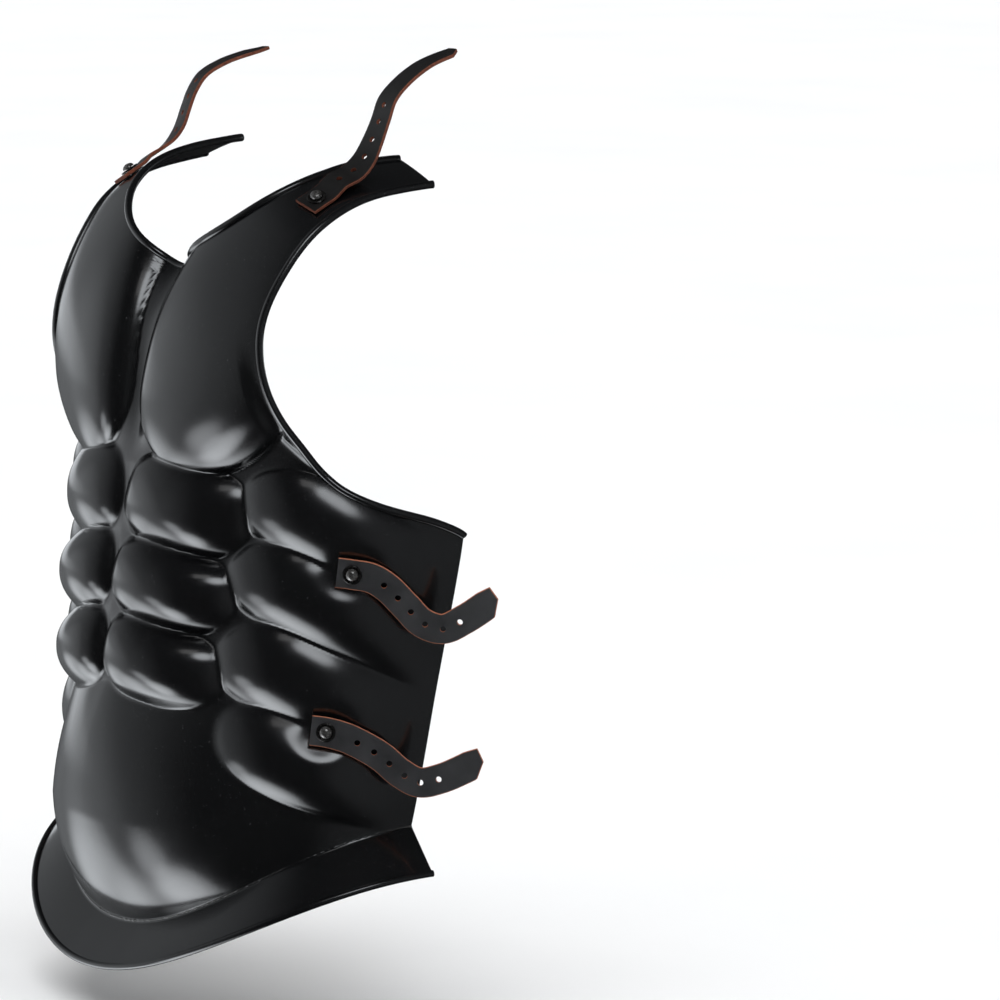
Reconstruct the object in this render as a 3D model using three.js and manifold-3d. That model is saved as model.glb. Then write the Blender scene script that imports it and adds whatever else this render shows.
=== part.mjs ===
// Steel muscle breastplate: the loose front half of a cuirass with its leather straps.
// Millimetres. X is the wearer's left, the chest faces -Y, Z is up. The origin is between the
// shoulder tabs, where the plate hangs on the wearer.
import * as THREE from "three";
import { mergeVertices } from "three/addons/utils/BufferGeometryUtils.js";
import Module from "manifold-3d";

const wasm = await Module();
wasm.setup();

// ---- Driving dimensions ----
// The plate is measured from its waist: height 0 is the welded seam at the side edges, and heights
// above CHEST_TOP are measured along the curve that turns back over the shoulders.
const STEEL = 1.2;
const CHEST_TOP = 250;
const CHEST_EASE = 14;
const SHOULDER_AXIS_Y = 25;
const SHOULDER_RADIUS = 150;
const SHOULDER_SEAT_Z = 415;

// Each row below is a height and the plate's measure there.
const HALF_WIDTH = [[-70, 140], [0, 154], [95, 165], [190, 176], [250, 182], [368, 221], [433, 238],
  [496, 260]];
const FRONT_DEPTH = [[-70, 122], [0, 131], [84, 141], [190, 141], [250, 134], [328, 139], [381, 150],
  [433, 167.5], [496, 179]];
const SIDE_EDGE_Y = [[0, 0], [95, 12.5], [165, 21.7], [195, 24.7], [222, 25], [250, 25]];
const SECTION_POWER = [[-70, 2.1], [-25, 2.05], [50, 1.64], [90, 1.56], [120, 1.58], [200, 1.66], [270, 1.88],
  [368, 2], [496, 2]];

// Outline of the sheet, as an angle from the centre line in degrees and a height.
const SIDE_ANGLE = 90;
const ARMPIT_HEIGHT = 187.5;
const MID_HEIGHT = 200;
const SEAM_DIP = 72;
const ARMHOLE = [[90, 187.5], [78, 197.5], [64, 208], [53, 224], [45.6, 249], [38.8, 285], [33.4, 322],
  [31, 350], [30.2, 385], [30.3, 425], [30, 460], [30, 493]];
const ARMHOLE_TURN = 5;
const NECK_NOTCH_HEIGHT = 366;
const NECK_HALF_WIDTH = 85;
const NECK_CENTRE_HEIGHT = 452;
const NECK_POWER = 1.8;
const NECK_BEND = 0.8;
const TAB_INNER_HALF_WIDTH = 90;
const TAB_END_HEIGHT = 494;

// Welded waist flange and rolled edges.
const FLANGE_OUT = 24;
const FLANGE_DROP = 26.5;
const EDGE_ROLL_RADIUS = 2.6;
const RIM_ROLL_RADIUS = 2.2;

// Raised muscles: centre across and up the sheet, reach to each side, tilt, height of the bulge, and
// how its outline (power), its top (swell) and its edge are rounded.
const ACROSS_PER_DEGREE = 2.6;
const PECTORAL = { across: 56, up: 281, inward: 48, outward: 56, down: 61, upward: 215, slope: 0, rise: 19.5,
  power: 2.1, swell: 2.6, edge: 0.55 };
const DOME = { swell: 2, edge: 0.85 };
const ABDOMINALS = [
  { across: 50, up: 199, inward: 47, outward: 48, down: 29, upward: 34, slope: 13, rise: 19, power: 2.5 },
  { across: 48, up: 150, inward: 46, outward: 49, down: 28, upward: 28, slope: 13, rise: 20, power: 2.5 },
  { across: 46, up: 101, inward: 45, outward: 50, down: 28, upward: 28, slope: 13, rise: 20, power: 2.5 },
];
const RIB = { across: 126, inward: 41, outward: 150, rise: 12.5, power: 2.2 };
const RIB_ROWS = [
  { up: 200, reach: 27, slope: 27 },
  { up: 154, reach: 28, slope: 27 },
  { up: 100, reach: 29, slope: 26 },
  { up: 50, reach: 29, slope: 18 },
];
const RIB_FADE = [145, 245];
// Heights between which the pectoral fades into the shoulder tab.
const TAB_FADE = [400, 500];
// Beside the armhole the pectoral eases into an even rise, so that the rolled edge runs smoothly.
const ARMHOLE_CALM = { width: 13, rise: 16, along: [220, 320], above: [300, 330] };
const ARMHOLE_BY_HEIGHT = ARMHOLE.map(([angle, height]) => [height, angle]);
const BELLY = { half: 150, top: 84, rise: 17.5, upper: [2.2, 1.1], lower: [2.4, 0.9] };
const STERNUM_GROOVE = [[225, 0], [246, 4], [300, 6], [338, 6], [374, 14]];
const STERNUM_GROOVE_HALF = 13;
const CREASE = 1.6;
const OUTSIDE_FALL = 8;

// Sheet mesh: columns across each half, rows on the side, lower armhole, neck and flange stretches.
const COLUMNS = 16;
const SIDE_ROWS = 17;
const CHEST_ROWS = 11;
const SHOULDER_ROWS = 8;
const FLANGE_ROWS = 2;
const SEAM_FADE = 3;
const ROLL_SEGMENTS = 3;

// Straps, rivets and washers.
const STRAP_WIDTH = 19;
const STRAP_THICK = 2.2;
const STRAP_END_TAPER = 9;
const TIP_CUT = { left: 0.85, right: 0.15 };
const TIP_CLEAR = 13;
const STRAP_TAIL = 9.5;
const STRAP_STEPS = 18;
const STRAP_LEAN = 0.15;
const FIRST_HOLE = 21;
const HOLE_PITCH = 12;
const HOLE_COUNT = 6;
const HOLE_RADIUS = 1.9;
const HOLE_SIDES = 8;
const GAP = 0.3;
const SEAT_GAP = 0.6;
const SHANK_RADIUS = 2;
const HEAD_RADIUS = 4;
const HEAD_RISE = 2.6;
const HEAD_RIM = 0.4;
const HEAD_STEPS = 3;
const TAIL_GAP = 1.1;
const TAIL_RADIUS = 3.4;
const TAIL_THICK = 1.2;
const WASHER_RADIUS = 6.2;
const WASHER_THICK = 1.2;
const WASHER_BEVEL = { in: 0.8, down: 0.48 };
const DRILL_LENGTH = 16;
const ROUND_SIDES = 12;

// Where each strap is riveted, as an angle and a height on the sheet.
const SHOULDER_RIVET = { angle: 25.8, height: 426 };
const SEAT_REACH = 15;
const SEAT_SHARPNESS = 3;
const SHOULDER_REACH = 3;
const SIDE_REACH = 4;
const SEAT_FLAT = 8;
const TWIST_STRETCH = [0.24, 0.55];
const SIDE_RIVETS = { upper: { angle: 60, height: 166 }, lower: { angle: 59.5, height: 64 } };

// Strap routes from the rivet: side straps as back, up and out from the plate, shoulder straps as
// back (Y) and up (Z). The last point is the tip.
const SIDE_ROUTES = {
  upper: [[0, 0, 0], [12, -2, 0], [22, -8, -1], [34, -20, -2], [44, -30, -3], [57, -34, -4],
    [71, -27, -2], [91, -12, 3]],
  lower: [[0, 0, 0], [12, -3, 0], [23, -8, -1], [35, -15, -2], [47, -25, -3], [59, -31, -4],
    [73, -28, -2], [99, -15, 4]],
};
const SHOULDER_ROUTES = {
  left: [[15, 10], [27, 15], [36, 23], [43, 35], [49, 48], [54, 60], [64, 70], [82, 81], [107, 89]],
  right: [[13, 9], [22, 13], [31, 19], [38, 28], [43, 40], [48, 51], [56, 61], [72, 69], [104, 77]],
};
const SHOULDER_TWIST = { left: 0, right: 0.33 };

// ---- Finishes ----
const blackSteel = () => new THREE.MeshStandardMaterial({ color: 0x0c0d0f, roughness: 0.3, metalness: 0.6 });
const blackLeather = () => new THREE.MeshStandardMaterial({ color: 0x1a1715, roughness: 0.6, metalness: 0 });
const darkRivet = () => new THREE.MeshStandardMaterial({ color: 0x3a3836, roughness: 0.4, metalness: 0.9 });

// ---- Curves and sections ----
const radians = THREE.MathUtils.degToRad;

// Second derivative of the natural cubic spline at each row of [height, value].
function splineBends(rows) {
  const bends = rows.map(() => 0);
  const carried = rows.map(() => 0);
  for (let i = 1; i < rows.length - 1; i++) {
    const before = rows[i][0] - rows[i - 1][0];
    const after = rows[i + 1][0] - rows[i][0];
    const turn = 6 * ((rows[i + 1][1] - rows[i][1]) / after - (rows[i][1] - rows[i - 1][1]) / before);
    const pivot = 2 * (before + after) - before * carried[i - 1];
    carried[i] = after / pivot;
    bends[i] = (turn - before * bends[i - 1]) / pivot;
  }
  for (let i = rows.length - 2; i > 0; i--) bends[i] -= carried[i] * bends[i + 1];
  return bends;
}
const bendsOf = new Map();

// Value at a height of the spline through rows, level below them and straight above them.
function smooth(rows, height) {
  if (!bendsOf.has(rows)) bendsOf.set(rows, splineBends(rows));
  const bends = bendsOf.get(rows);
  const above = rows.findIndex((row) => row[0] > height);
  const i = above < 0 ? rows.length - 2 : Math.max(above - 1, 0);
  const [[low, start], [high, end]] = [rows[i], rows[i + 1]];
  const span = high - low;
  const f = THREE.MathUtils.clamp((height - low) / span, 0, 1);
  const g = 1 - f;
  const bow = ((g ** 3 - g) * bends[i] + (f ** 3 - f) * bends[i + 1]) * (span ** 2 / 6);
  const endSlope = (end - start) / span + (span * bends[i]) / 6;
  return g * start + f * end + bow + (above < 0 ? (height - high) * endSlope : 0);
}

// The smooth sheet under the muscles: level superellipse sections, turned back above CHEST_TOP.
function basePoint(angle, height) {
  const past = height - CHEST_TOP;
  const turned = (past + Math.hypot(past, CHEST_EASE)) / 2;
  const turn = turned / SHOULDER_RADIUS;
  const power = 2 / smooth(SECTION_POWER, height);
  const a = radians(angle);
  const x = Math.sign(a) * smooth(HALF_WIDTH, height) * Math.abs(Math.sin(a)) ** power;
  const reach = smooth(FRONT_DEPTH, height) * Math.max(Math.cos(a), 0) ** power;
  const axis = past <= 0 ? smooth(SIDE_EDGE_Y, height) : SHOULDER_AXIS_Y;
  return new THREE.Vector3(x, axis - reach * Math.cos(turn), height - turned + reach * Math.sin(turn));
}

function baseNormal(angle, height) {
  const inside = Math.min(angle, 89.4);
  const across = basePoint(inside + 0.5, height).sub(basePoint(inside - 0.5, height));
  const up = basePoint(inside, height + 2).sub(basePoint(inside, height - 2));
  return across.cross(up).normalize();
}

// Height of the waist seam: level at the side edges, dipping under the belly.
const seamHeight = (angle) => -SEAM_DIP * Math.cos(radians(angle)) ** 2;

// ---- Muscles ----
// A cushion-shaped rise with its own reach in each direction. It goes on falling outside its outline.
function cushion(across, up, form) {
  const tilt = radians(form.slope);
  const dx = (across - form.across) * Math.cos(tilt) - (up - form.up) * Math.sin(tilt);
  const dy = (across - form.across) * Math.sin(tilt) + (up - form.up) * Math.cos(tilt);
  const u = Math.abs(dx) / (dx < 0 ? form.inward : form.outward);
  const v = Math.abs(dy) / (dy < 0 ? form.down : form.upward);
  const away = (u ** form.power + v ** form.power) ** (1 / form.power);
  return away < 1 ? form.rise * (1 - away ** form.swell) ** form.edge :
    -OUTSIDE_FALL * (away - 1);
}

// The greater of two rises, blended where they are within CREASE of each other.
function blend(a, b) {
  const overlap = Math.max(CREASE - Math.abs(a - b), 0);
  return Math.max(a, b) + overlap ** 2 / (4 * CREASE);
}

// One broad bulge that swells gently below the lowest abdominals and ends at the waist seam.
function bellyRise(across, angle, height) {
  const low = seamHeight(angle);
  const level = (2 * (height - low)) / (BELLY.top - low) - 1;
  const round = (reach, [swell, edge]) => Math.max(1 - Math.max(reach, 0) ** swell, 0) ** edge;
  const side = Math.max(1 - (across / BELLY.half) ** 2, 0) ** 2;
  return BELLY.rise * round(level, BELLY.upper) * round(-level, BELLY.lower) * side;
}

function pectoralRise(across, height) {
  const step = THREE.MathUtils.smoothstep;
  const { width, rise, along, above } = ARMHOLE_CALM;
  const free = cushion(across, height, PECTORAL) * (1 - step(height, ...TAB_FADE));
  const edge = ACROSS_PER_DEGREE * smooth(ARMHOLE_BY_HEIGHT, height);
  const near = (1 - step(edge - across, 0, width)) * (1 - step(height, ...above));
  return free + (rise * step(height, ...along) - free) * near;
}

function freeRise(angle, height) {
  const across = ACROSS_PER_DEGREE * Math.abs(angle);
  let raised = blend(bellyRise(across, angle, height), pectoralRise(across, height));
  for (const row of ABDOMINALS) raised = blend(raised, cushion(across, height, { ...DOME, ...row }));
  const fade = 1 - THREE.MathUtils.smoothstep(across, ...RIB_FADE);
  for (const { up, reach, slope } of RIB_ROWS) {
    const rib = { ...DOME, ...RIB, up, slope, down: reach, upward: reach };
    raised = blend(raised, cushion(across, height, rib) * fade);
  }
  const groove = height < STERNUM_GROOVE[0][0] ? 0 : smooth(STERNUM_GROOVE, height);
  return raised - groove * Math.exp(-((across / STERNUM_GROOVE_HALF) ** 2));
}

// The muscles' rise, evened out round each rivet so that its washer and strap lie flat.
function muscleRise(angle, height) {
  let rise = freeRise(angle, height);
  for (const spot of [SIDE_RIVETS.upper, SIDE_RIVETS.lower]) {
    const distance = Math.hypot((Math.abs(angle) - spot.angle) * ACROSS_PER_DEGREE, height - spot.height);
    const level = Math.exp(-((distance / SEAT_REACH) ** SEAT_SHARPNESS));
    if (level > 0.001) rise += (freeRise(spot.angle, spot.height) - rise) * level;
  }
  return rise;
}

// A point of the finished sheet, depth below its outer face.
function platePoint(angle, height, depth = 0) {
  const lift = muscleRise(angle, height) - depth;
  return basePoint(angle, height).addScaledVector(baseNormal(angle, height), lift);
}

// ---- Outline ----
const armhole = new THREE.SplineCurve(ARMHOLE.map(([angle, height]) => new THREE.Vector2(angle, height)));

const armholeTurn = ARMHOLE_TURN / (ARMHOLE.length - 1);

// Places along one edge of a stretch of the sheet, as angle and height.
const stretch = (count, place) => Array.from({ length: count + 1 }, (_, i) => place(i / count));

function neckPoint(f) {
  const quarter = (Math.min(f / NECK_BEND, 1) * Math.PI) / 2;
  const past = Math.max(f - NECK_BEND, 0) / (1 - NECK_BEND);
  const dip = (1 - Math.sin(quarter) ** NECK_POWER) ** (1 / NECK_POWER);
  const half = NECK_HALF_WIDTH * Math.sin(quarter) + (TAB_INNER_HALF_WIDTH - NECK_HALF_WIDTH) * past ** 2;
  const height = NECK_CENTRE_HEIGHT - (NECK_CENTRE_HEIGHT - NECK_NOTCH_HEIGHT) * dip +
    (TAB_END_HEIGHT - NECK_CENTRE_HEIGHT) * past;
  const power = smooth(SECTION_POWER, height) / 2;
  const angle = Math.asin((half / smooth(HALF_WIDTH, height)) ** power);
  return new THREE.Vector2(THREE.MathUtils.radToDeg(angle), height);
}

function innerEdge() {
  const side = stretch(SIDE_ROWS, (f) => new THREE.Vector2(0, -SEAM_DIP + f * (MID_HEIGHT + SEAM_DIP)));
  const chest = stretch(CHEST_ROWS, (f) =>
    new THREE.Vector2(0, MID_HEIGHT + f * (NECK_NOTCH_HEIGHT - MID_HEIGHT)));
  return [...side, ...chest.slice(1), ...stretch(SHOULDER_ROWS, neckPoint).slice(1)];
}

function outerEdge() {
  const side = stretch(SIDE_ROWS, (f) => new THREE.Vector2(SIDE_ANGLE, f * ARMPIT_HEIGHT));
  const chest = stretch(CHEST_ROWS, (f) => armhole.getPoint(f * armholeTurn));
  const shoulder = stretch(SHOULDER_ROWS, (f) => armhole.getPoint(armholeTurn + f * (1 - armholeTurn)));
  return [...side, ...chest.slice(1), ...shoulder.slice(1)];
}

// Angle and height at every node of the half sheet: edges blended so that all four sides are kept.
function sheetGrid() {
  const left = innerEdge();
  const right = outerEdge();
  const top = left.length - 1;
  return left.map((start, row) => {
    const v = row / top;
    return Array.from({ length: COLUMNS + 1 }, (_, column) => {
      const u = column / COLUMNS;
      const place = start.clone().lerp(right[row], u);
      const seam = seamHeight(SIDE_ANGLE * u) - left[0].y * (1 - u);
      const fade = Math.max(1 - v * SEAM_FADE, 0) ** 2;
      place.y += seam * fade;
      return place;
    });
  });
}

// ---- Shell ----
function flangePoint(angle, f, depth) {
  const out = baseNormal(angle, seamHeight(angle)).setZ(0).normalize();
  const length = Math.hypot(FLANGE_OUT, FLANGE_DROP);
  const point = platePoint(angle, seamHeight(angle), 0);
  point.addScaledVector(out, f * FLANGE_OUT + (-depth * FLANGE_DROP) / length);
  point.z -= f * FLANGE_DROP + (depth * FLANGE_OUT) / length;
  return point;
}

// Rows of points of one face of the half sheet, from the flange rim up to the shoulder.
function facePoints(grid, depth) {
  const rows = [];
  for (let row = FLANGE_ROWS; row >= 1; row--)
    rows.push(grid[0].map((place) => flangePoint(place.x, row / FLANGE_ROWS, depth)));
  for (const line of grid) rows.push(line.map((place) => platePoint(place.x, place.y, depth)));
  return rows;
}

// Closed sheet of both halves. Rows up to the neck notch meet on the centre line.
function sheetGeometry() {
  const grid = sheetGrid();
  const outer = facePoints(grid, 0);
  const inner = facePoints(grid, STEEL);
  const notchRow = FLANGE_ROWS + SIDE_ROWS + CHEST_ROWS;
  const top = outer.length - 1;
  const positions = [];
  const triangle = (a, b, c) => {
    positions.push(...a, ...b, ...c);
    positions.push(-a[0], a[1], a[2], -c[0], c[1], c[2], -b[0], b[1], b[2]);
  };
  const quad = (a, b, c, d) => {
    triangle(a, b, c);
    triangle(a, c, d);
  };
  const at = (rows, row, column) => {
    const point = rows[row][column];
    return [column === 0 && row <= notchRow ? 0 : point.x, point.y, point.z];
  };
  const wall = (r0, c0, r1, c1) =>
    quad(at(outer, r0, c0), at(inner, r0, c0), at(inner, r1, c1), at(outer, r1, c1));
  for (let row = 0; row < top; row++) {
    for (let column = 0; column < COLUMNS; column++) {
      quad(at(outer, row, column), at(outer, row, column + 1), at(outer, row + 1, column + 1),
        at(outer, row + 1, column));
      quad(at(inner, row, column), at(inner, row + 1, column), at(inner, row + 1, column + 1),
        at(inner, row, column + 1));
    }
    wall(row, COLUMNS, row + 1, COLUMNS);
    if (row >= notchRow) wall(row + 1, 0, row, 0);
  }
  for (let column = 0; column < COLUMNS; column++) {
    wall(0, column, 0, column + 1);
    wall(top, column + 1, top, column);
  }
  const geometry = new THREE.BufferGeometry();
  geometry.setAttribute("position", new THREE.Float32BufferAttribute(positions, 3));
  return { geometry, outer, inner, notchRow };
}

// Round bar along a list of points, which the edges are rolled round.
function rollGeometry(points, radius) {
  const outline = new THREE.Shape().absarc(0, 0, radius, 0, 2 * Math.PI);
  const path = new THREE.CatmullRomCurve3(points, false, "centripetal");
  return new THREE.ExtrudeGeometry(outline, {
    steps: points.length - 1,
    curveSegments: ROLL_SEGMENTS,
    bevelEnabled: false,
    extrudePath: path,
  });
}

// ---- Solids ----
function toSolid(geometry) {
  const bare = geometry.clone();
  bare.deleteAttribute("normal");
  bare.deleteAttribute("uv");
  const merged = mergeVertices(bare.index ? bare.toNonIndexed() : bare, 1e-3);
  return new wasm.Manifold(new wasm.Mesh({
    numProp: 3,
    vertProperties: new Float32Array(merged.attributes.position.array),
    triVerts: new Uint32Array(merged.index.array),
  }));
}

function toGeometry(made) {
  const mesh = made.getMesh();
  const geometry = new THREE.BufferGeometry();
  geometry.setAttribute("position", new THREE.BufferAttribute(mesh.vertProperties, 3));
  geometry.setIndex(new THREE.BufferAttribute(mesh.triVerts, 1));
  geometry.computeVertexNormals();
  return geometry;
}

// A frame on the sheet: z out of the plate, x towards the plate's back edge, y up along it.
// It stands above the proudest point of the sheet near the spot, reach degrees to each side.
function seatFrame(spot, reach) {
  const near = (turn, rise) => platePoint(spot.angle + turn, spot.height + rise);
  const origin = near(0, 0);
  const across = near(2, 0).sub(near(-2, 0));
  const up = near(0, 5).sub(near(0, -5));
  const out = across.clone().cross(up).normalize();
  across.addScaledVector(out, -across.dot(out)).normalize();
  const frame = new THREE.Matrix4().makeBasis(across, out.clone().cross(across), out);
  let proud = 0;
  for (let turn = -reach; turn <= reach; turn += 1)
    for (let rise = -12; rise <= 10; rise += 2)
      proud = Math.max(proud, near(turn, rise).sub(origin).dot(out));
  return { frame, out, proud, origin: origin.addScaledVector(out, proud) };
}

// ---- Straps ----
// A leather band along a route: each stop has a centre, a direction across the band and its length so far.
function bandGeometry(stops) {
  const rings = stops.map(({ centre, across, out, left, right }) => {
    const corner = (side, level) => centre.clone().addScaledVector(across, side).addScaledVector(out, level);
    const half = STRAP_THICK / 2;
    return [corner(-left, -half), corner(right, -half), corner(right, half), corner(-left, half)];
  });
  const positions = [];
  const face = (...points) => {
    for (let i = 2; i < points.length; i++)
      for (const p of [points[0], points[i - 1], points[i]]) positions.push(p.x, p.y, p.z);
  };
  for (let i = 1; i < rings.length; i++)
    for (let k = 0; k < 4; k++) {
      const next = (k + 1) % 4;
      face(rings[i - 1][k], rings[i - 1][next], rings[i][next], rings[i][k]);
    }
  face(...rings[0].slice().reverse());
  face(...rings[rings.length - 1]);
  const geometry = new THREE.BufferGeometry();
  geometry.setAttribute("position", new THREE.Float32BufferAttribute(positions, 3));
  return geometry;
}

// Stops along a route that starts a tail's length behind the rivet, with a clipped tip.
function bandStops(curve, acrossAt) {
  const length = curve.getLength();
  return Array.from({ length: STRAP_STEPS + 1 }, (_, i) => {
    const along = (length * i) / STRAP_STEPS;
    const centre = curve.getPointAt(i / STRAP_STEPS);
    const forward = curve.getTangentAt(i / STRAP_STEPS);
    const across = acrossAt(i / STRAP_STEPS);
    across.addScaledVector(forward, -across.dot(forward)).normalize();
    const out = forward.clone().cross(across).normalize();
    const taper = Math.max(along - (length - STRAP_END_TAPER), 0) / STRAP_END_TAPER;
    const half = STRAP_WIDTH / 2;
    const [left, right] = [TIP_CUT.left, TIP_CUT.right].map((cut) => half * (1 - cut * taper));
    return { centre, across, out, along, left, right };
  });
}

function punched(stops, rivetHoleAt) {
  let made = toSolid(bandGeometry(stops));
  const length = stops[stops.length - 1].along;
  const holes = [{ along: rivetHoleAt, radius: SHANK_RADIUS + 2 * GAP }];
  for (let i = 0; i < HOLE_COUNT; i++)
    holes.push({ along: rivetHoleAt + FIRST_HOLE + i * HOLE_PITCH, radius: HOLE_RADIUS });
  for (const hole of holes) {
    if (hole.along > length - TIP_CLEAR) continue;
    const nearer = (a, b) => (Math.abs(b.along - hole.along) < Math.abs(a.along - hole.along) ? b : a);
    const near = stops.reduce(nearer);
    const step = stops[Math.min(stops.indexOf(near) + 1, stops.length - 1)];
    const f = (hole.along - near.along) / (step.along - near.along || 1);
    const centre = near.centre.clone().lerp(step.centre, f);
    const punch = new THREE.CylinderGeometry(hole.radius, hole.radius, 3 * STRAP_THICK, HOLE_SIDES);
    punch.applyQuaternion(new THREE.Quaternion().setFromUnitVectors(new THREE.Vector3(0, 1, 0), near.out));
    punch.translate(centre.x, centre.y, centre.z);
    made = made.subtract(toSolid(punch));
  }
  return toGeometry(made);
}

const CENTRE_LEVEL = SEAT_GAP + STRAP_THICK / 2;

function sideStrap(spot, route) {
  const seat = seatFrame(spot, SIDE_REACH);
  const world = ([back, up, out]) =>
    new THREE.Vector3(back, up, out + CENTRE_LEVEL).applyMatrix4(seat.frame).add(seat.origin);
  const points = [world([-STRAP_TAIL, 1, 0]), ...route.map(world)];
  const curve = new THREE.CatmullRomCurve3(points, false, "centripetal");
  const up = new THREE.Vector3(0, 1, 0).transformDirection(seat.frame);
  const out = new THREE.Vector3(0, 0, 1).transformDirection(seat.frame);
  const stops = bandStops(curve, (f) => out.clone().cross(curve.getTangentAt(f)).lerp(up, STRAP_LEAN));
  return punched(stops, STRAP_TAIL);
}

function shoulderStrap(side) {
  const seat = seatFrame(SHOULDER_RIVET, SHOULDER_REACH);
  const lift = seat.origin.clone().addScaledVector(seat.out, CENTRE_LEVEL);
  const slope = new THREE.Vector3(1, 0, 0).transformDirection(seat.frame);
  const forward = slope.clone().cross(seat.out).negate();
  const points = SHOULDER_ROUTES[side].map(([back, up]) => new THREE.Vector3(0, back, up).add(lift));
  const flat = [-STRAP_TAIL, 0, SEAT_FLAT].map((along) => lift.clone().addScaledVector(forward, along));
  points.unshift(...flat);
  const curve = new THREE.CatmullRomCurve3(points, false, "centripetal");
  const level = new THREE.Vector3(1, SHOULDER_TWIST[side], 0).normalize();
  const turnAt = (f) => THREE.MathUtils.smoothstep(f, ...TWIST_STRETCH);
  const stops = bandStops(curve, (f) => slope.clone().lerp(level, turnAt(f)).negate());
  return punched(stops, STRAP_TAIL);
}

// ---- Rivets and washers, standing on the seat frame ----
function rivetGeometry(proud) {
  const underHead = SEAT_GAP + STRAP_THICK + WASHER_THICK + 2 * GAP;
  const underPlate = -proud - STEEL - TAIL_GAP;
  const dome = [];
  for (let i = 0; i < HEAD_STEPS; i++) {
    const a = (i / HEAD_STEPS) * (Math.PI / 2);
    dome.push(new THREE.Vector2(HEAD_RADIUS * Math.cos(a), underHead + HEAD_RIM + HEAD_RISE * Math.sin(a)));
  }
  const profile = [
    new THREE.Vector2(0, underPlate - TAIL_THICK),
    new THREE.Vector2(TAIL_RADIUS * 0.8, underPlate - TAIL_THICK),
    new THREE.Vector2(TAIL_RADIUS, underPlate - TAIL_THICK / 2),
    new THREE.Vector2(TAIL_RADIUS, underPlate),
    new THREE.Vector2(SHANK_RADIUS, underPlate),
    new THREE.Vector2(SHANK_RADIUS, underHead),
    new THREE.Vector2(HEAD_RADIUS, underHead),
    ...dome,
    new THREE.Vector2(0, underHead + HEAD_RIM + HEAD_RISE),
  ];
  return new THREE.LatheGeometry(profile, ROUND_SIDES).rotateX(Math.PI / 2);
}

function washerGeometry() {
  const low = SEAT_GAP + STRAP_THICK + GAP;
  const bore = SHANK_RADIUS + GAP;
  const profile = [
    new THREE.Vector2(bore, low),
    new THREE.Vector2(WASHER_RADIUS, low),
    new THREE.Vector2(WASHER_RADIUS, low + WASHER_THICK - WASHER_BEVEL.down),
    new THREE.Vector2(WASHER_RADIUS - WASHER_BEVEL.in, low + WASHER_THICK),
    new THREE.Vector2(bore, low + WASHER_THICK),
    new THREE.Vector2(bore, low),
  ];
  return new THREE.LatheGeometry(profile, ROUND_SIDES).rotateX(Math.PI / 2);
}

// ---- Assembly ----
const SPOTS = [
  { name: "shoulder", spot: SHOULDER_RIVET, reach: SHOULDER_REACH },
  { name: "upper_side", spot: SIDE_RIVETS.upper, reach: SIDE_REACH },
  { name: "lower_side", spot: SIDE_RIVETS.lower, reach: SIDE_REACH },
];

function mirrored(geometry) {
  const flipped = geometry.clone().applyMatrix4(new THREE.Matrix4().makeScale(-1, 1, 1));
  const bare = flipped.index ? flipped.toNonIndexed() : flipped;
  const p = bare.attributes.position;
  for (let i = 0; i < p.count; i += 3) {
    const [x, y, z] = [p.getX(i + 1), p.getY(i + 1), p.getZ(i + 1)];
    p.setXYZ(i + 1, p.getX(i + 2), p.getY(i + 2), p.getZ(i + 2));
    p.setXYZ(i + 2, x, y, z);
  }
  return bare;
}

function breastShell() {
  const { geometry, outer, notchRow } = sheetGeometry();
  let made = toSolid(geometry);
  const flip = (point) => new THREE.Vector3(-point.x, point.y, point.z);
  const bothSides = ([middle, ...half]) => [...half.map(flip).reverse(), middle.clone().setX(0), ...half];
  const neck = outer.slice(notchRow).map((line) => line[0]);
  const arm = outer.slice(FLANGE_ROWS + SIDE_ROWS).map((line) => line[COLUMNS]);
  made = made.add(toSolid(rollGeometry(bothSides(neck), EDGE_ROLL_RADIUS)));
  made = made.add(toSolid(rollGeometry(bothSides(outer[0]), RIM_ROLL_RADIUS)));
  made = made.add(toSolid(rollGeometry(arm, EDGE_ROLL_RADIUS)));
  made = made.add(toSolid(rollGeometry(arm.map(flip), EDGE_ROLL_RADIUS)));
  for (const { spot, reach } of SPOTS) {
    const seat = seatFrame(spot, reach);
    const bore = SHANK_RADIUS + GAP;
    const drill = new THREE.CylinderGeometry(bore, bore, DRILL_LENGTH, ROUND_SIDES);
    drill.rotateX(Math.PI / 2).applyMatrix4(seat.frame).translate(...seat.origin);
    made = made.subtract(toSolid(drill)).subtract(toSolid(mirrored(drill)));
  }
  return toGeometry(made);
}

const breastplate = new THREE.Group();
breastplate.position.z = -SHOULDER_SEAT_Z;

function addPiece(name, geometry, material) {
  const mesh = new THREE.Mesh(geometry, material);
  mesh.name = name;
  breastplate.add(mesh);
}

addPiece("breast_shell", breastShell(), blackSteel());
for (const side of ["left", "right"]) {
  const turned = (geometry) => (side === "left" ? geometry : mirrored(geometry));
  addPiece("shoulder_strap_" + side, turned(shoulderStrap(side)), blackLeather());
  for (const level of ["upper", "lower"])
    addPiece("side_strap_" + level + "_" + side, turned(sideStrap(SIDE_RIVETS[level], SIDE_ROUTES[level])),
      blackLeather());
  for (const { name, spot, reach } of SPOTS) {
    const seat = seatFrame(spot, reach);
    const seated = (geometry) => turned(geometry.applyMatrix4(seat.frame).translate(...seat.origin));
    addPiece(name + "_rivet_" + side, seated(rivetGeometry(seat.proud)), darkRivet());
    addPiece(name + "_washer_" + side, seated(washerGeometry()), darkRivet());
  }
}

export default breastplate;
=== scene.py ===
"""Looks for the steel muscle breastplate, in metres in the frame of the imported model."""

import math

import bpy
import numpy as np
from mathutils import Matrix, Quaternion, Vector

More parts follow.
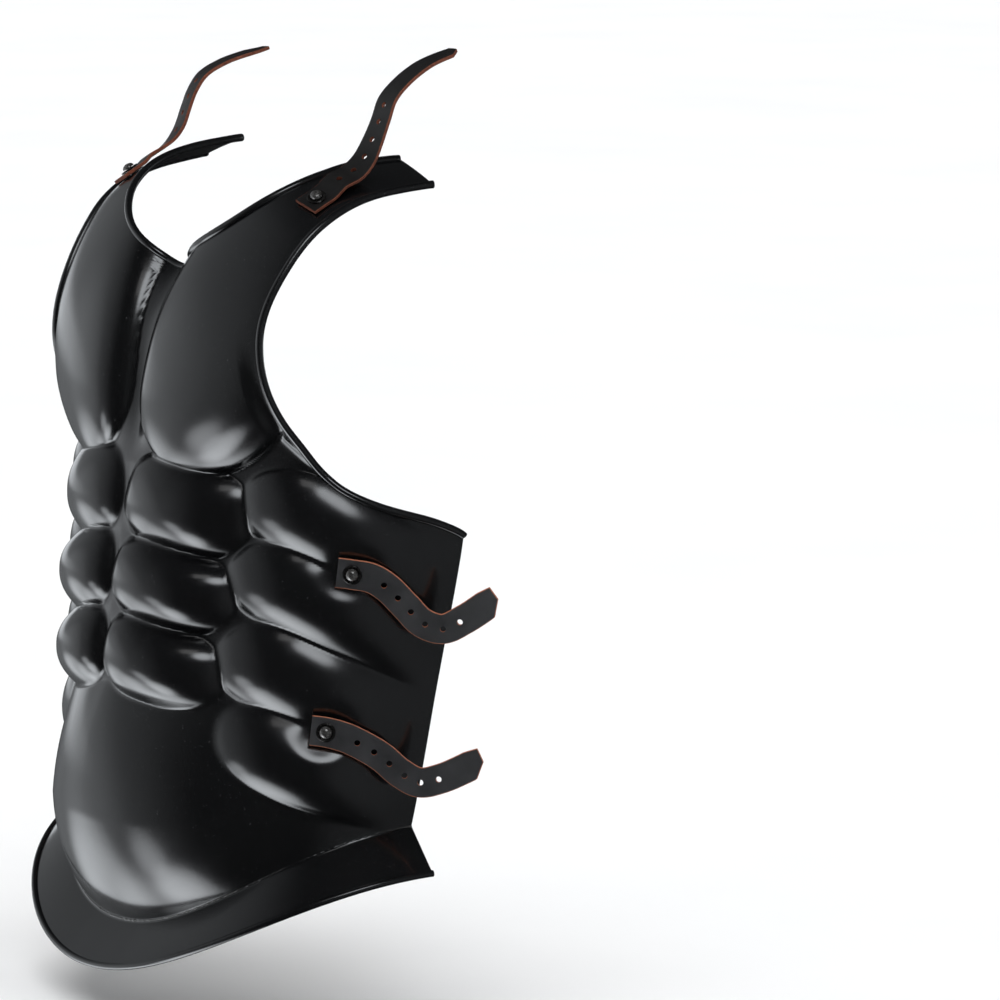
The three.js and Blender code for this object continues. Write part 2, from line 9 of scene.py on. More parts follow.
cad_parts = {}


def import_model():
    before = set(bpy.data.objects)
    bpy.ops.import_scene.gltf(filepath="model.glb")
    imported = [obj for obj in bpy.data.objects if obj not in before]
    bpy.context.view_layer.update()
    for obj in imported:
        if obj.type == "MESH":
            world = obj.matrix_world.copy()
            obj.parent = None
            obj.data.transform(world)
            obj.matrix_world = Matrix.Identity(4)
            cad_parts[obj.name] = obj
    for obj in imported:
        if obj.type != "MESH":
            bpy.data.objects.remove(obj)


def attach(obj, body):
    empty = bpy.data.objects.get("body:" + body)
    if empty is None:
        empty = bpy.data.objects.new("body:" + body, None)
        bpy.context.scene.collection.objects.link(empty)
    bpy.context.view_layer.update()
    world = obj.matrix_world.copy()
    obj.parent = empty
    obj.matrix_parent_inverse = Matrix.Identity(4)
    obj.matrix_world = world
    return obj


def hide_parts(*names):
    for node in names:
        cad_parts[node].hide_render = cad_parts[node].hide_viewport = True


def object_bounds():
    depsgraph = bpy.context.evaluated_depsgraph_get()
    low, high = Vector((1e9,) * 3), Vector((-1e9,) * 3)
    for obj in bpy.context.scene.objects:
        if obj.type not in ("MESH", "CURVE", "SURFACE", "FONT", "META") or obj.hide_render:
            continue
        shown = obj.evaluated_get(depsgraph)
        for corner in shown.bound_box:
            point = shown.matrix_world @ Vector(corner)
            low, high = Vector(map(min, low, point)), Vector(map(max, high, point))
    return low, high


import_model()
cad_low, cad_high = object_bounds()
MM = 0.001


# ---- Camera, as the object is seen from its front left side ----
CAMERA_AZIMUTH = 56.0
CAMERA_ELEVATION = 8.6
CAMERA_DISTANCE = 4.0
CAMERA_TARGET = Vector((0.0, -0.010, -0.231))
CAMERA_LENS = 221.54
CAMERA_TURN = -2.215
CAMERA_TIP = 0.093


def make_camera():
    data = bpy.data.cameras.new("camera")
    data.lens = CAMERA_LENS
    data.sensor_width = 36.0
    data.clip_end = 200.0
    cam = bpy.data.objects.new("camera", data)
    bpy.context.scene.collection.objects.link(cam)
    a, e = math.radians(CAMERA_AZIMUTH), math.radians(CAMERA_ELEVATION)
    back = Vector((math.sin(a) * math.cos(e), -math.cos(a) * math.cos(e), math.sin(e)))
    right = Vector((math.cos(a), math.sin(a), 0.0))
    up = back.cross(right)
    look = (-back).to_track_quat("-Z", "Y")
    turn = Quaternion(up, math.radians(CAMERA_TURN))
    tip = Quaternion(turn @ right, math.radians(CAMERA_TIP))
    cam.location = CAMERA_TARGET + CAMERA_DISTANCE * back
    cam.rotation_mode = "QUATERNION"
    cam.rotation_quaternion = tip @ turn @ look
    bpy.context.scene.camera = cam


make_camera()


# ---- The plate's form, in millimetres from its waist: height 0 is the seam at the side edges ----
STEEL = 1.2
CHEST_TOP = 250.0
CHEST_EASE = 14.0
SHOULDER_AXIS_Y = 25.0
SHOULDER_RADIUS = 150.0
SHOULDER_SEAT_Z = 415.0

# Rows of height and measure.
HALF_WIDTH = [(-70, 140), (0, 154), (95, 165), (190, 176), (250, 182), (368, 221), (433, 238), (496, 260)]
FRONT_DEPTH = [(-70, 122), (0, 131), (84, 141), (190, 141), (250, 134), (328, 139), (381, 150),
               (433, 167.5), (496, 179)]
SIDE_EDGE_Y = [(0, 0), (95, 12.5), (165, 21.7), (195, 24.7), (222, 25), (250, 25)]
SECTION_POWER = [(-70, 2.1), (-25, 2.05), (50, 1.64), (90, 1.56), (120, 1.58), (200, 1.66), (270, 1.88),
                 (368, 2), (496, 2)]

# Outline: angle from the centre line in degrees, and height.
SIDE_ANGLE = 90.0
ARMPIT_HEIGHT = 187.5
SEAM_DIP = 72.0
ARMHOLE = [(90, 187.5), (78, 197.5), (64, 208), (53, 224), (45.6, 249), (38.8, 285), (33.4, 322), (31, 350),
           (30.2, 385), (30.3, 425), (30, 460), (30, 493)]
ARMHOLE_TURN = 5
NECK_NOTCH_HEIGHT = 366.0
NECK_HALF_WIDTH = 85.0
NECK_CENTRE_HEIGHT = 452.0
NECK_POWER = 1.8
NECK_BEND = 0.8
TAB_INNER_HALF_WIDTH = 90.0
TAB_END_HEIGHT = 494.0
MID_HEIGHT = 200.0
SEAM_FADE = 3

FLANGE_OUT = 24.0
FLANGE_DROP = 26.5
EDGE_ROLL_RADIUS = 2.6
RIM_ROLL_RADIUS = 2.2

# Muscles: centre across and up the sheet, reach each way, tilt, height and outline power.
ACROSS_PER_DEGREE = 2.6
PECTORAL = dict(across=56, up=281, inward=48, outward=56, down=61, upward=215, rise=19.5, power=2.1,
                swell=2.6, edge=0.55)
ABDOMINALS = [
    dict(across=50, up=199, inward=47, outward=48, down=29, upward=34, rise=19, slope=13, power=2.5),
    dict(across=48, up=150, inward=46, outward=49, down=28, upward=28, rise=20, slope=13, power=2.5),
    dict(across=46, up=101, inward=45, outward=50, down=28, upward=28, rise=20, slope=13, power=2.5),
]
RIB_ROWS = ((200, 27, 27), (154, 28, 27), (100, 29, 26), (50, 29, 18))
RIBS = [dict(across=126, up=up, inward=41, outward=150, down=reach, upward=reach, rise=12.5, slope=slope,
             power=2.2) for up, reach, slope in RIB_ROWS]
RIB_FADE = (145.0, 245.0)
TAB_FADE = (400.0, 500.0)
ARMHOLE_CALM = dict(width=13.0, rise=16.0, along=(220.0, 320.0), above=(300.0, 330.0))
BELLY = dict(half=150.0, top=84.0, rise=17.5, upper=(2.2, 1.1), lower=(2.4, 0.9))
STERNUM_GROOVE = [(225, 0), (246, 4), (300, 6), (338, 6), (374, 14)]
STERNUM_GROOVE_HALF = 13.0
DOME_SWELL = 2.0
DOME_EDGE = 0.85
OUTSIDE_FALL = 8
CREASE = 1.6

SHOULDER_RIVET = (25.8, 426.0)
SIDE_RIVETS = {"upper": (60.0, 166.0), "lower": (59.5, 64.0)}
SEAT_REACH = 15.0
SEAT_SHARPNESS = 3.0


def smooth(rows, height):
    """Natural cubic spline through rows of (height, value), level below them and straight above them."""
    x, y = np.array(rows, float).T
    span, rise = np.diff(x), np.diff(y)
    grid = np.eye(len(x))
    side = np.zeros(len(x))
    for k in range(1, len(x) - 1):
        grid[k, k - 1 : k + 2] = span[k - 1], 2 * (span[k - 1] + span[k]), span[k]
        side[k] = 6 * (rise[k] / span[k] - rise[k - 1] / span[k - 1])
    bend = np.linalg.solve(grid, side)
    h = np.asarray(height, float)
    i = np.clip(np.searchsorted(x, h, side="right") - 1, 0, len(x) - 2)
    f = np.clip((h - x[i]) / span[i], 0, 1)
    g = 1 - f
    value = g * y[i] + f * y[i + 1] + span[i] ** 2 / 6 * ((g**3 - g) * bend[i] + (f**3 - f) * bend[i + 1])
    end_slope = rise[-1] / span[-1] + span[-1] * bend[-2] / 6
    return value + np.maximum(h - x[-1], 0) * end_slope


def base_point(angle, height):
    """The smooth sheet under the muscles: level superellipse sections, turned back above the chest."""
    a = np.radians(np.asarray(angle, float))
    h = np.asarray(height, float)
    past = h - CHEST_TOP
    turned = (past + np.sqrt(past**2 + CHEST_EASE**2)) / 2
    turn = turned / SHOULDER_RADIUS
    power = 2 / smooth(SECTION_POWER, h)
    x = np.sign(a) * smooth(HALF_WIDTH, h) * np.abs(np.sin(a)) ** power
    reach = smooth(FRONT_DEPTH, h) * np.maximum(np.cos(a), 0) ** power
    y = np.where(h <= CHEST_TOP, smooth(SIDE_EDGE_Y, h), SHOULDER_AXIS_Y) - reach * np.cos(turn)
    z = h - turned + reach * np.sin(turn)
    return np.stack(np.broadcast_arrays(x, y, z), -1)


def unit(v):
    return v / np.maximum(np.linalg.norm(v, axis=-1, keepdims=True), 1e-12)


def base_normal(angle, height):
    angle = np.asarray(angle, float)
    inside = np.clip(angle, -89.4, 89.4)
    across = base_point(inside + 0.5, height) - base_point(inside - 0.5, height)
    up = base_point(inside, height + 2) - base_point(inside, height - 2)
    return unit(np.cross(across, up))


def seam_height(angle):
    return -SEAM_DIP * np.cos(np.radians(angle)) ** 2


def smoothstep(x, low, high):
    f = np.clip((x - low) / (high - low), 0, 1)
    return f * f * (3 - 2 * f)


def cushion(across, up, form):
    """Rise of one cushion-shaped muscle. It goes on falling, below zero, outside its outline."""
    tilt = math.radians(form.get("slope", 0))
    dx = (across - form["across"]) * math.cos(tilt) - (up - form["up"]) * math.sin(tilt)
    dy = (across - form["across"]) * math.sin(tilt) + (up - form["up"]) * math.cos(tilt)
    u = np.abs(dx) / np.where(dx < 0, form["inward"], form["outward"])
    v = np.abs(dy) / np.where(dy < 0, form["down"], form["upward"])
    power = form["power"]
    edge = (u**power + v**power) ** (1 / power)
    swell, steep = form.get("swell", DOME_SWELL), form.get("edge", DOME_EDGE)
    inside = form["rise"] * np.maximum(1 - edge**swell, 0) ** steep
    return np.where(edge < 1, inside, -OUTSIDE_FALL * (edge - 1))


def smooth_max(a, b, width):
    overlap = np.maximum(width - np.abs(a - b), 0)
    return np.maximum(a, b) + overlap**2 / (4 * width)


def belly_rise(across, angle, height):
    """One broad bulge that swells gently below the lowest abdominals and ends steeply at the seam."""
    side = np.abs(across) / BELLY["half"]
    low = seam_height(angle)
    level = 2 * (height - low) / (BELLY["top"] - low) - 1

    def rounded(reach, form):
        swell, steep = form
        return np.maximum(1 - np.maximum(reach, 0) ** swell, 0) ** steep

    round_side = np.maximum(1 - side**2, 0) ** 2
    return BELLY["rise"] * rounded(level, BELLY["upper"]) * rounded(-level, BELLY["lower"]) * round_side


def pectoral_rise(across, height):
    """The pectoral, faded into the shoulder tab and calmed along the armhole, whose edge runs smoothly."""
    free = cushion(across, height, PECTORAL) * (1 - smoothstep(height, *TAB_FADE))
    edge = ACROSS_PER_DEGREE * smooth([(up, angle) for angle, up in ARMHOLE], height)
    near = 1 - smoothstep(edge - across, 0, ARMHOLE_CALM["width"])
    near = near * (1 - smoothstep(height, *ARMHOLE_CALM["above"]))
    calm = ARMHOLE_CALM["rise"] * smoothstep(height, *ARMHOLE_CALM["along"])
    return free + (calm - free) * near


def free_rise(angle, height):
    across = ACROSS_PER_DEGREE * np.abs(angle)
    raised = smooth_max(belly_rise(across, angle, height), pectoral_rise(across, height), CREASE)
    for form in ABDOMINALS:
        raised = smooth_max(raised, cushion(across, height, form), CREASE)
    fade = 1 - smoothstep(across, *RIB_FADE)
    for form in RIBS:
        raised = smooth_max(raised, cushion(across, height, form) * fade, CREASE)
    groove = np.where(height < STERNUM_GROOVE[0][0], 0, smooth(STERNUM_GROOVE, height))
    return raised - groove * np.exp(-((across / STERNUM_GROOVE_HALF) ** 2))


def muscle_rise(angle, height):
    """The muscles' rise, evened out round each side rivet so that its washer and strap lie flat."""
    angle, height = np.asarray(angle, float), np.asarray(height, float)
    rise = free_rise(angle, height)
    for spot_angle, spot_height in SIDE_RIVETS.values():
        away = np.hypot((np.abs(angle) - spot_angle) * ACROSS_PER_DEGREE, height - spot_height)
        level = np.exp(-((away / SEAT_REACH) ** SEAT_SHARPNESS))
        rise = rise + (free_rise(np.array(spot_angle), np.array(spot_height)) - rise) * level
    return rise


def plate_point(angle, height, depth=0.0):
    """A point of the finished sheet, depth below its outer face."""
    lift = muscle_rise(angle, height) - depth
    return base_point(angle, height) + base_normal(angle, height) * lift[..., None]


def flange_point(angle, f, depth=0.0):
    """A point of the waist flange, f from the seam (0) to the rim (1)."""
    seam = seam_height(angle)
    out = base_normal(angle, seam)
    out[..., 2] = 0
    out = unit(out)
    length = math.hypot(FLANGE_OUT, FLANGE_DROP)
    point = plate_point(angle, seam)
    shift = f * FLANGE_OUT - depth * FLANGE_DROP / length
    drop = f * FLANGE_DROP + depth * FLANGE_OUT / length
    point = point + out * np.asarray(shift)[..., None]
    point[..., 2] -= drop
    return point


def world(points):
    """Millimetres from the waist to metres in the model's frame."""
    return (np.asarray(points, float) - (0, 0, SHOULDER_SEAT_Z)) * MM


# ---- Outline and grid of the sheet ----
def neck_outline(f):
    """Angle and height along the neck edge, from the notch to the end of the shoulder tab."""
    quarter = np.minimum(f / NECK_BEND, 1) * math.pi / 2
    past = np.maximum(f - NECK_BEND, 0) / (1 - NECK_BEND)
    half = NECK_HALF_WIDTH * np.sin(quarter)
    rim = NECK_CENTRE_HEIGHT - NECK_NOTCH_HEIGHT
    dip = np.maximum(1 - (half / NECK_HALF_WIDTH) ** NECK_POWER, 0) ** (1 / NECK_POWER)
    height = NECK_CENTRE_HEIGHT - rim * dip + (TAB_END_HEIGHT - NECK_CENTRE_HEIGHT) * past
    half = half + (TAB_INNER_HALF_WIDTH - NECK_HALF_WIDTH) * past**2
    power = smooth(SECTION_POWER, height) / 2
    angle = np.degrees(np.arcsin((half / smooth(HALF_WIDTH, height)) ** power))
    return np.stack([angle, height], -1)


def spline(points, f):
    """Catmull-Rom curve through points, f from 0 to 1."""
    p = np.array(points, float)
    t = np.asarray(f, float) * (len(p) - 1)
    i = np.clip(t.astype(int), 0, len(p) - 2)
    w = (t - i)[..., None]
    p0, p1, p2, p3 = p[np.maximum(i - 1, 0)], p[i], p[i + 1], p[np.minimum(i + 2, len(p) - 1)]
    v0, v1 = (p2 - p0) / 2, (p3 - p1) / 2
    return ((2 * p1 - 2 * p2 + v0 + v1) * w**3 + (-3 * p1 + 3 * p2 - 2 * v0 - v1) * w**2 + v0 * w + p1)


def stretch(count):
    return np.linspace(0, 1, count + 1)


def sheet_grid(columns, side_rows, chest_rows, shoulder_rows):
    """Angle and height at each node of the left half. The three stretches are the side, the lower
    armhole beside the chest, and the neck beside the upper armhole."""
    level = np.zeros(side_rows + 1)
    side_in = np.stack([level, -SEAM_DIP + stretch(side_rows) * (MID_HEIGHT + SEAM_DIP)], -1)
    side_out = np.stack([level + SIDE_ANGLE, stretch(side_rows) * ARMPIT_HEIGHT], -1)
    level = np.zeros(chest_rows + 1)
    chest_in = np.stack([level, MID_HEIGHT + stretch(chest_rows) * (NECK_NOTCH_HEIGHT - MID_HEIGHT)], -1)
    turn = ARMHOLE_TURN / (len(ARMHOLE) - 1)
    chest_out = spline(ARMHOLE, stretch(chest_rows) * turn)
    neck_in = neck_outline(stretch(shoulder_rows))
    neck_out = spline(ARMHOLE, turn + stretch(shoulder_rows) * (1 - turn))
    inner = np.concatenate([side_in, chest_in[1:], neck_in[1:]])
    outer = np.concatenate([side_out, chest_out[1:], neck_out[1:]])
    u = stretch(columns)[None, :, None]
    grid = inner[:, None] * (1 - u) + outer[:, None] * u
    v = np.linspace(0, 1, len(inner))[:, None]
    seam = seam_height(SIDE_ANGLE * stretch(columns)) + SEAM_DIP * (1 - stretch(columns))
    grid[..., 1] += seam * np.maximum(1 - v * SEAM_FADE, 0) ** 2
    return grid


# ---- Mesh helpers ----
def add_object(name, points, faces, materials, face_slots=None, smooth_faces=True):
    mesh = bpy.data.meshes.new(name)
    mesh.from_pydata(np.asarray(points).tolist(), [], [tuple(map(int, f)) for f in faces])
    for material in materials:
        mesh.materials.append(material)
    mesh.polygons.foreach_set("use_smooth", [smooth_faces] * len(mesh.polygons))
    if face_slots is not None:
        mesh.polygons.foreach_set("material_index", [int(s) for s in face_slots])
    mesh.update()
    made = bpy.data.objects.new(name, mesh)
    bpy.context.scene.collection.objects.link(made)
    return made


def grid_faces(rows, columns, first=0, flip=False):
    r, c = np.meshgrid(np.arange(rows), np.arange(columns), indexing="ij")
    a = first + r * (columns + 1) + c
    quads = np.stack([a, a + 1, a + columns + 2, a + columns + 1], -1).reshape(-1, 4)
    return quads[:, ::-1] if flip else quads


# ---- Materials ----
def node_material(name):
    material = bpy.data.materials.new(name)
    material.use_nodes = True
    tree = material.node_tree
    return material, tree, tree.nodes["Principled BSDF"]


def add_node(tree, kind, inputs=(), **settings):
    node = tree.nodes.new("ShaderNode" + kind)
    for key, value in settings.items():
        setattr(node, key, value)
    for key, value in dict(inputs).items():
        if isinstance(value, bpy.types.NodeSocket):
            tree.links.new(value, node.inputs[key])
        else:
            node.inputs[key].default_value = value
    return node


def object_noise(tree, scale, detail=3.0, roughness=0.55, distortion=0.0):
    place = add_node(tree, "TexCoord").outputs["Object"]
    return add_node(tree, "TexNoise", {"Vector": place, "Scale": scale, "Detail": detail,
                                       "Roughness": roughness, "Distortion": distortion}).outputs["Fac"]


def ramp(tree, value, low, high, colour_low, colour_high):
    node = add_node(tree, "ValToRGB", {"Fac": value})
    node.color_ramp.elements[0].position = low
    node.color_ramp.elements[1].position = high
    node.color_ramp.elements[0].color = (*colour_low, 1)
    node.color_ramp.elements[1].color = (*colour_high, 1)
    return node.outputs["Color"]


def remap(tree, value, low, high, to_low, to_high):
    return add_node(tree, "MapRange", {"Value": value, "From Min": low, "From Max": high,
                                       "To Min": to_low, "To Max": to_high}).outputs["Result"]


def bump(tree, height, distance, strength, normal=None):
    inputs = {"Height": height, "Distance": distance, "Strength": strength}
    if normal is not None:
        inputs["Normal"] = normal
    return add_node(tree, "Bump", inputs).outputs["Normal"]


def painted_steel(name, low, high):
    material, tree, shader = node_material(name)
    cloud = object_noise(tree, 9.0, 3.0)
    specks = object_noise(tree, 900.0, 1.0)
    speck_mask = remap(tree, specks, 0.72, 0.80, 0.0, 1.0)
    paint = ramp(tree, cloud, 0.35, 0.7, low, high)
    colour = add_node(tree, "Mix", {"Factor": speck_mask, "A": paint, "B": (0.05, 0.05, 0.052, 1)},
                      data_type="RGBA").outputs["Result"]
    tree.links.new(colour, shader.inputs["Base Color"])
    gloss = remap(tree, object_noise(tree, 26.0, 4.0), 0.3, 0.7, 0.16, 0.23)
    tree.links.new(gloss, shader.inputs["Roughness"])
    hammered = bump(tree, object_noise(tree, 38.0, 2.0), 0.0012, 0.1)
    peel = bump(tree, object_noise(tree, 420.0, 2.0), 0.0002, 0.07, hammered)
    tree.links.new(peel, shader.inputs["Normal"])
    shader.inputs["Specular IOR Level"].default_value = 0.75
    shader.inputs["Coat Weight"].default_value = 0.35
    shader.inputs["Coat Roughness"].default_value = 0.09
    return material


def inner_steel():
    """The unseen face: the same paint, thinner and duller, with a coarser texture."""
    material, tree, shader = node_material("inner_painted_steel")
    cloud = object_noise(tree, 30.0, 5.0)
    colour = ramp(tree, cloud, 0.3, 0.7, (0.006, 0.006, 0.0065), (0.016, 0.016, 0.017))
    tree.links.new(colour, shader.inputs["Base Color"])
    tree.links.new(remap(tree, cloud, 0.3, 0.7, 0.38, 0.52), shader.inputs["Roughness"])
    tree.links.new(bump(tree, object_noise(tree, 260.0, 3.0), 0.0003, 0.12), shader.inputs["Normal"])
    shader.inputs["Specular IOR Level"].default_value = 0.4
    return material


def black_leather(name, low, high, rough, coat):
    material, tree, shader = node_material(name)
    place = add_node(tree, "TexCoord").outputs["Object"]
    cells = add_node(tree, "TexVoronoi", {"Vector": place, "Scale": 1100.0},
                     feature="DISTANCE_TO_EDGE").outputs["Distance"]
    cloud = object_noise(tree, 60.0, 4.0)
    colour = ramp(tree, cloud, 0.3, 0.75, low, high)
    tree.links.new(colour, shader.inputs["Base Color"])
    tree.links.new(remap(tree, cloud, 0.3, 0.7, *rough), shader.inputs["Roughness"])
    shader.inputs["Coat Weight"].default_value = coat
    shader.inputs["Coat Roughness"].default_value = 0.28
    creases = bump(tree, object_noise(tree, 240.0, 4.0), 0.0004, 0.4)
    grain = bump(tree, remap(tree, cells, 0.0, 0.12, 0.0, 1.0), 0.00015, 0.5, creases)
    tree.links.new(grain, shader.inputs["Normal"])
    return material


def raw_leather(name, low, high):
    material, tree, shader = node_material(name)
    fibres = object_noise(tree, 700.0, 4.0, 0.7)
    colour = ramp(tree, fibres, 0.3, 0.75, low, high)
    tree.links.new(colour, shader.inputs["Base Color"])
    shader.inputs["Roughness"].default_value = 0.8
    tree.links.new(bump(tree, fibres, 0.0003, 0.6), shader.inputs["Normal"])
    return material


def rivet_steel(name, low, high):
    material, tree, shader = node_material(name)
    cloud = object_noise(tree, 320.0, 4.0)
    colour = ramp(tree, cloud, 0.35, 0.7, low, high)
    tree.links.new(colour, shader.inputs["Base Color"])
    tree.links.new(remap(tree, cloud, 0.3, 0.7, 0.16, 0.32), shader.inputs["Roughness"])
    tree.links.new(bump(tree, object_noise(tree, 500.0, 3.0), 0.0003, 0.15), shader.inputs["Normal"])
    shader.inputs["Metallic"].default_value = 0.85
    return material


STEEL_LOOK = painted_steel("black_painted_steel", (0.0022, 0.0023, 0.0026), (0.0042, 0.0044, 0.0048))
# The weld's colour runs from near black up to a light grey. This is partly worn bare metal and partly a
# painted highlight standing in for the bright line along the bead.
WELD_WEAR_AND_PAINTED_HIGHLIGHT = painted_steel("weld_wear_and_painted_highlight", (0.004, 0.004, 0.0045), (0.09, 0.088, 0.085))
INNER_LOOK = inner_steel()
# The side straps' leather is lifted to a grey-blue, a painted sheen standing in for the light the slanted
# straps reflect. Their raw tan edges are the leather's own colour.
SIDE_LEATHER_WITH_PAINTED_SHEEN = (
    black_leather("black_leather", (0.013, 0.013, 0.0145), (0.032, 0.032, 0.0345), (0.30, 0.42), 0.9),
    raw_leather("raw_leather_edge", (0.20, 0.060, 0.030), (0.52, 0.20, 0.11)),
)
# The shoulder straps' leather is rougher, with little coat. It and its raw edges are darker copies of the
# side straps' ones: painted shade.
SHOULDER_LEATHER_WITH_PAINTED_SHADE = (
    black_leather("dull_black_leather_painted_shade", (0.003, 0.0028, 0.0028), (0.008, 0.0074, 0.0072), (0.5, 0.65), 0.1),
    raw_leather("leather_edge_painted_shade", (0.08, 0.020, 0.010), (0.26, 0.08, 0.042)),
)
RIVET_LOOK = rivet_steel("dark_rivet_steel", (0.13, 0.126, 0.122), (0.22, 0.214, 0.208))
WASHER_LOOK = rivet_steel("black_washer_steel", (0.018, 0.017, 0.017), (0.05, 0.048, 0.046))


# ---- Shell ----
COLUMNS = 150
SIDE_ROWS, CHEST_ROWS, SHOULDER_ROWS = 160, 90, 60
FLANGE_ROWS = 14
WELD_STEPS = 900
WELD_RADIUS = 0.65
WELD_PROUD = 0.25
WELD_THINNEST = 0.3


def whole_sheet(depth, columns, side_rows, chest_rows, shoulder_rows, flange_rows):
    """Points and faces of one face of the sheet, both halves."""
    grid = sheet_grid(columns, side_rows, chest_rows, shoulder_rows)
    half = plate_point(grid[..., 0], grid[..., 1], depth)
    angles = grid[0, :, 0]
    flange = np.stack([flange_point(angles, f, depth) for f in np.linspace(1, 0, flange_rows + 1)[:-1]])
    half = np.concatenate([flange, half])
    notch = flange_rows + side_rows + chest_rows
    half[: notch + 1, 0, 0] = 0
    return half, notch


def mesh_of_halves(half, notch, flip):
    """One mesh of a half and its mirror image, with the shared centre nodes joined."""
    rows, columns = half.shape[0] - 1, half.shape[1] - 1
    left = half.reshape(-1, 3)
    right = (half * (-1, 1, 1)).reshape(-1, 3)
    faces = grid_faces(rows, columns, 0, flip)
    twin = grid_faces(rows, columns, len(left), not flip)
    for row in range(notch + 1):
        twin[twin == len(left) + row * (columns + 1)] = row * (columns + 1)
    return np.concatenate([left, right]), np.concatenate([faces, twin])


def tube(points, radius, sides=12, closed_ends=True, radii=None):
    """Points and faces of a round bar along points, in millimetres."""
    p = np.asarray(points, float)
    radii = np.full(len(p), radius) if radii is None else radii
    tangent = unit(np.gradient(p, axis=0))
    side = np.zeros_like(p)
    guess = np.array([0.0, 0, 1.0]) if abs(tangent[0, 2]) < 0.9 else np.array([1.0, 0, 0])
    for i, t in enumerate(tangent):
        guess = guess - t * (guess @ t)
        guess = guess / np.linalg.norm(guess)
        side[i] = guess
    other = np.cross(tangent, side)
    a = np.arange(sides) * 2 * math.pi / sides
    ring = side[:, None] * np.cos(a)[None, :, None] + other[:, None] * np.sin(a)[None, :, None]
    rings = p[:, None] + ring * radii[:, None, None]
    i, k = np.meshgrid(np.arange(len(p) - 1), np.arange(sides), indexing="ij")
    n = (k + 1) % sides
    quads = np.stack([i * sides + k, i * sides + n, (i + 1) * sides + n, (i + 1) * sides + k], -1)
    faces = [tuple(f) for f in quads.reshape(-1, 4)]
    if closed_ends:
        faces.append(tuple(range(sides - 1, -1, -1)))
        faces.append(tuple((len(p) - 1) * sides + np.arange(sides)))
    return rings.reshape(-1, 3), faces


def weld_bead():
    """The uneven bead of weld that joins the flange to the plate."""
    angles = np.linspace(-SIDE_ANGLE, SIDE_ANGLE, WELD_STEPS + 1)
    points = plate_point(angles, seam_height(angles), -WELD_PROUD)
    a = np.radians(angles)
    coarse = 0.34 * np.sin(83 * a + 1.3) * np.sin(31 * a + 0.4)
    fine = 0.24 * np.sin(197 * a + 2.1) * np.sin(13 * a)
    slow = 0.3 * np.sin(7 * a + 0.9)
    radii = np.maximum(WELD_RADIUS * (1 + (coarse + fine) + slow), WELD_RADIUS * WELD_THINNEST)
    points, faces = tube(points, WELD_RADIUS, sides=8, radii=radii)
    return add_object("weld_bead", world(points), faces, [WELD_WEAR_AND_PAINTED_HIGHLIGHT])


def build_shell():
    made = []
    outer, notch = whole_sheet(0.0, COLUMNS, SIDE_ROWS, CHEST_ROWS, SHOULDER_ROWS, FLANGE_ROWS)
    points, faces = mesh_of_halves(outer, notch, False)
    made.append(add_object("plate_outside", world(points), faces, [STEEL_LOOK]))
    inner, _ = whole_sheet(STEEL, COLUMNS, SIDE_ROWS, CHEST_ROWS, SHOULDER_ROWS, FLANGE_ROWS)
    points, faces = mesh_of_halves(inner, notch, True)
    made.append(add_object("plate_inside", world(points), faces, [INNER_LOOK]))
    flip = np.array([-1, 1, 1])
    arm_start = FLANGE_ROWS + SIDE_ROWS

    def both(edge):
        return np.concatenate([(edge[1:] * flip)[::-1], edge])

    for name, path, radius in (
        ("neck_roll", both(outer[notch:, 0]), EDGE_ROLL_RADIUS),
        ("armhole_roll_left", outer[arm_start:, -1], EDGE_ROLL_RADIUS),
        ("armhole_roll_right", outer[arm_start:, -1] * flip, EDGE_ROLL_RADIUS),
        ("rim_roll", both(outer[0]), RIM_ROLL_RADIUS),
    ):
        points, faces = tube(path, radius)
        made.append(add_object(name, world(points), faces, [STEEL_LOOK]))
    made.append(weld_bead())
    edge = [outer[: arm_start + 1, -1], inner[: arm_start + 1, -1]]
    top = [outer[-1], inner[-1]]
    for name, (a, b) in (("side_edge", edge), ("tab_end", top)):
        for side, mirror in (("left", np.ones(3)), ("right", flip)):
            strip = np.stack([a, b], 1) * mirror
            faces = grid_faces(len(a) - 1, 1)
            made.append(add_object(name + "_" + side, world(strip.reshape(-1, 3)), faces, [STEEL_LOOK]))
    for piece in made:
        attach(piece, "root")
    for piece in made:
        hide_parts("breast_shell")


build_shell()


# ---- Seats: a frame on the sheet at each rivet ----
SHOULDER_PROBE = 3
SIDE_PROBE = 4


def seat_frame(spot, probe):
    """Origin and axes at a rivet: back across the sheet, up along it and out of it, clear of its bulges."""
    angle, height = spot

    def at(a, h):
        return plate_point(np.array(float(a)), np.array(float(h)))

    across = at(angle + 2, height) - at(angle - 2, height)
    out = unit(np.cross(across, at(angle, height + 5) - at(angle, height - 5)))
    across = unit(across - out * (across @ out))
    a, h = np.meshgrid(np.arange(-probe, probe + 1), np.arange(-12, 11, 2))
    around = plate_point(angle + a.astype(float), height + h.astype(float))
    proud = max(0.0, float(((around - at(angle, height)) @ out).max()))
    return at(angle, height) + out * proud, np.stack([across, np.cross(out, across), out]), proud


# ---- Straps ----
STRAP_WIDTH = 19.0
STRAP_THICK = 2.2
STRAP_TAIL = 9.5
TIP_LENGTH = 9.0
FIRST_HOLE, HOLE_PITCH, HOLE_COUNT = 21.0, 12.0, 6
HOLE_RADIUS = 1.9
RIVET_HOLE_RADIUS = 2.6
SEAT_GAP = 0.6
SEAT_FLAT = 8.0
CENTRE_LEVEL = SEAT_GAP + STRAP_THICK / 2
